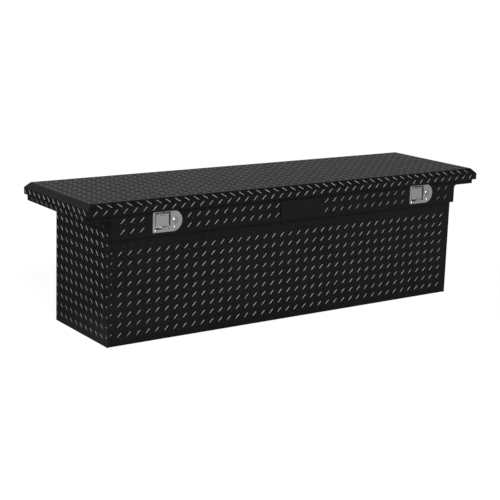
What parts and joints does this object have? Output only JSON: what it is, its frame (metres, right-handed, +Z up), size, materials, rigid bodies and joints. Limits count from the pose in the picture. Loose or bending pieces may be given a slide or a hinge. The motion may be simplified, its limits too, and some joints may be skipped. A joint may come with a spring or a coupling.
{
  "type": "truck tool box",
  "caption": "Low-profile crossover truck tool box in black tread plate: single hinged lid, deep tub, side wings that rest on bed rails, and paddle latches with key locks.",
  "frame": {"origin": "centre of the bounding box in X and Y, on the surface the tub stands on", "axes": "+X across the truck towards the right-hand end seen from the latches, -Y towards the latch side, +Z up"},
  "size_m": [1.772, 0.495, 0.515],
  "materials": {
    "tread_black": "gloss black powder coat over aluminium tread plate",
    "stainless": "polished stainless steel",
    "zinc": "bright zinc plating",
    "chrome": "chrome plate",
    "bare_aluminium": "mill finish",
    "black_plastic": "moulded, gloss black",
    "rubber": "closed-cell rubber",
    "foam": "rigid foam",
    "strut_black": "satin black"
  },
  "bodies": {
    "root": {"tub_wrap": "tread_black", "end_panel_left": "tread_black", "end_panel_right": "tread_black", "front_fascia": "tread_black", "rear_rail": "tread_black", "wing_shelf_left": "tread_black", "wing_shelf_right": "tread_black", "gasket": "rubber", "hinge_leaf_body": "stainless", "hinge_pin": "stainless", "hinge_rivets_body": "bare_aluminium", "badge_plate": "black_plastic", "badge_rivets": "black_plastic", "strut_bracket_rivets": "bare_aluminium", "tray_ledge_front": "bare_aluminium", "tray_ledge_rear": "bare_aluminium", "tray_ledge_rivets": "bare_aluminium", "latch_dish_left": "stainless", "latch_gasket_left": "rubber", "latch_screws_left": "stainless", "paddle_pin_left": "stainless", "paddle_spring_left": "zinc", "latch_case_left": "zinc", "lock_barrel_left": "chrome", "strut_bracket_body_left": "zinc", "latch_dish_right": "stainless", "latch_gasket_right": "rubber", "latch_screws_right": "stainless", "paddle_pin_right": "stainless", "paddle_spring_right": "zinc", "latch_case_right": "zinc", "lock_barrel_right": "chrome", "strut_bracket_body_right": "zinc"},
    "lid": {"hinge_leaf_lid": "stainless", "hinge_rivets_lid": "bare_aluminium", "lid_skin": "tread_black", "lid_liner": "bare_aluminium", "lid_core": "foam", "strike_left": "zinc", "strike_right": "zinc", "strut_bracket_lid_left": "zinc", "strut_bracket_lid_right": "zinc"},
    "tray": {"tool_tray": "bare_aluminium", "tray_handle": "stainless"},
    "paddle_left": {"paddle_left": "stainless"},
    "latch_bolt_left": {"latch_bolt_left": "zinc"},
    "lock_plug_left": {"lock_plug_left": "chrome"},
    "strut_cylinder_left": {"strut_cylinder_left": "strut_black"},
    "strut_rod_left": {"strut_rod_left": "chrome", "strut_end_left": "strut_black"},
    "paddle_right": {"paddle_right": "stainless"},
    "latch_bolt_right": {"latch_bolt_right": "zinc"},
    "lock_plug_right": {"lock_plug_right": "chrome"},
    "strut_cylinder_right": {"strut_cylinder_right": "strut_black"},
    "strut_rod_right": {"strut_rod_right": "chrome", "strut_end_right": "strut_black"}
  },
  "joints": [
    {"name": "lid_hinge", "type": "hinge", "parent": "root", "child": "lid", "pos_m": [0, 0.2255, 0.486], "axis": [-1, 0, 0], "range_deg": [0, 75]},
    {"name": "paddle_left_pull", "type": "hinge", "parent": "root", "child": "paddle_left", "pos_m": [-0.587, -0.221, 0.454], "axis": [-1, 0, 0], "range_deg": [0, 40], "stiffness_Nm_per_rad": 0.35, "springref_deg": -17.19},
    {"name": "latch_bolt_left_slide", "type": "slide", "parent": "root", "child": "latch_bolt_left", "axis": [0, -1, 0], "range_m": [0, 0.0101]},
    {"name": "lock_left_turn", "type": "hinge", "parent": "root", "child": "lock_plug_left", "pos_m": [-0.536, -0.228, 0.428], "axis": [0, 1, 0], "range_deg": [0, 90]},
    {"name": "strut_left_pivot", "type": "hinge", "parent": "root", "child": "strut_cylinder_left", "pos_m": [-0.766, 0.16, 0.43], "axis": [-1, 0, 0], "range_deg": [0, 73.98]},
    {"name": "strut_left_stroke", "type": "slide", "parent": "strut_cylinder_left", "child": "strut_rod_left", "axis": [0, -0.9662, 0.2577], "range_m": [0, 0.10493]},
    {"name": "paddle_right_pull", "type": "hinge", "parent": "root", "child": "paddle_right", "pos_m": [0.585, -0.221, 0.454], "axis": [-1, 0, 0], "range_deg": [0, 40], "stiffness_Nm_per_rad": 0.35, "springref_deg": -17.19},
    {"name": "latch_bolt_right_slide", "type": "slide", "parent": "root", "child": "latch_bolt_right", "axis": [0, -1, 0], "range_m": [0, 0.0101]},
    {"name": "lock_right_turn", "type": "hinge", "parent": "root", "child": "lock_plug_right", "pos_m": [0.636, -0.228, 0.428], "axis": [0, 1, 0], "range_deg": [0, 90]},
    {"name": "strut_right_pivot", "type": "hinge", "parent": "root", "child": "strut_cylinder_right", "pos_m": [0.766, 0.16, 0.43], "axis": [-1, 0, 0], "range_deg": [0, 73.98]},
    {"name": "strut_right_stroke", "type": "slide", "parent": "strut_cylinder_right", "child": "strut_rod_right", "axis": [0, -0.9662, 0.2577], "range_m": [0, 0.10493]},
    {"name": "tray_slide", "type": "slide", "parent": "root", "child": "tray", "axis": [1, 0, 0], "range_m": [0, 1.172]}
  ],
  "couplings": [
    {"joint": "latch_bolt_left_slide", "follows": "paddle_left_pull", "m_per_rad": 0.014324},
    {"joint": "strut_left_pivot", "follows": "lid_hinge", "ratio": 0.98578},
    {"joint": "strut_left_stroke", "follows": "lid_hinge", "m_per_rad": 0.080085},
    {"joint": "latch_bolt_right_slide", "follows": "paddle_right_pull", "m_per_rad": 0.014324},
    {"joint": "strut_right_pivot", "follows": "lid_hinge", "ratio": 0.98578},
    {"joint": "strut_right_stroke", "follows": "lid_hinge", "m_per_rad": 0.080085}
  ]
}
